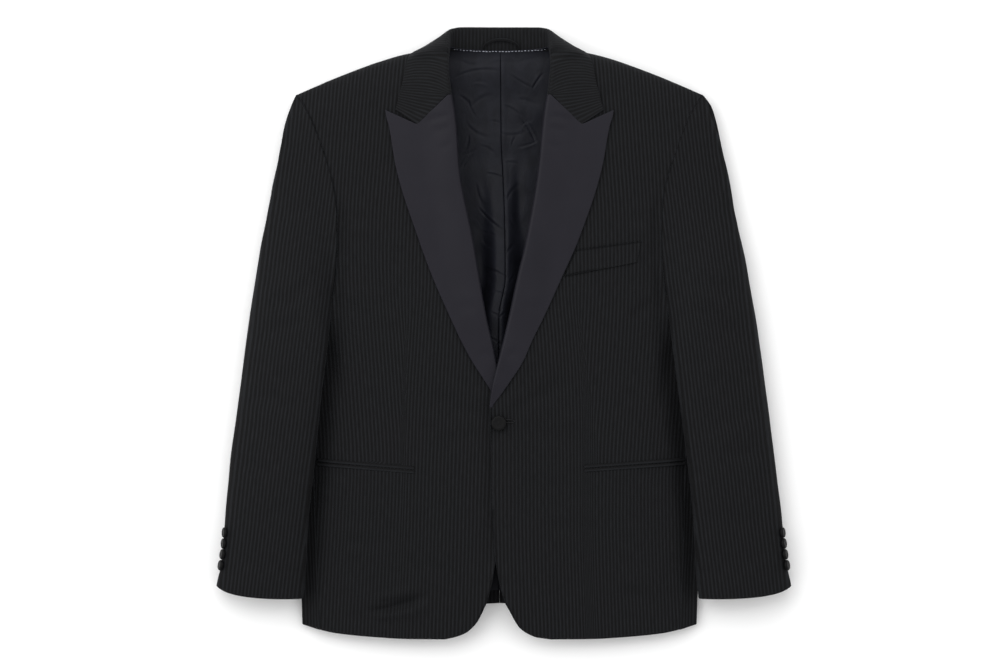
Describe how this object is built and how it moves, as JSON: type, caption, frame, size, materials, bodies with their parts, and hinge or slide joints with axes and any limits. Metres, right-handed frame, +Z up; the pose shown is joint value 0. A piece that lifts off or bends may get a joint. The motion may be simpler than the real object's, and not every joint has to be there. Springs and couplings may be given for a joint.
{
  "type": "dinner jacket",
  "caption": "Single-breasted dinner jacket laid flat, fastened, with silk peak lapels, jetted hip pockets, breast welt and buttoned cuffs.",
  "frame": {"origin": "middle of the underside, on the surface the jacket lies on", "axes": "+X towards the wearer's left, +Y from hem to collar, +Z up off the surface"},
  "size_m": [0.7446, 0.7934, 0.0617],
  "materials": {
    "wool": "black worsted wool with a fine tonal cord stripe",
    "silk_satin": "midnight silk satin facing, soft sheen",
    "lining": "dark viscose lining, soft sheen",
    "covered_button": "button covered in black satin"
  },
  "bodies": {
    "root": {"front_left": "wool", "front_right": "wool", "side_body_left": "wool", "side_body_right": "wool", "back_left": "wool", "back_right": "wool", "top_sleeve_left": "wool", "top_sleeve_right": "wool", "under_sleeve_left": "wool", "under_sleeve_right": "wool", "collar_leaf": "wool", "collar_stand": "wool", "hanger_loop": "wool", "breast_welt": "wool", "hip_jet_upper_left": "wool", "hip_jet_upper_right": "wool", "hip_jet_lower_left": "wool", "hip_jet_lower_right": "wool", "lapel_left": "silk_satin", "lapel_right": "silk_satin", "back_lining_left": "lining", "back_lining_right": "lining", "front_button": "covered_button", "cuff_button_left_1": "covered_button", "cuff_button_left_2": "covered_button", "cuff_button_left_3": "covered_button", "cuff_button_left_4": "covered_button", "cuff_button_right_1": "covered_button", "cuff_button_right_2": "covered_button", "cuff_button_right_3": "covered_button", "cuff_button_right_4": "covered_button"}
  },
  "joints": []
}
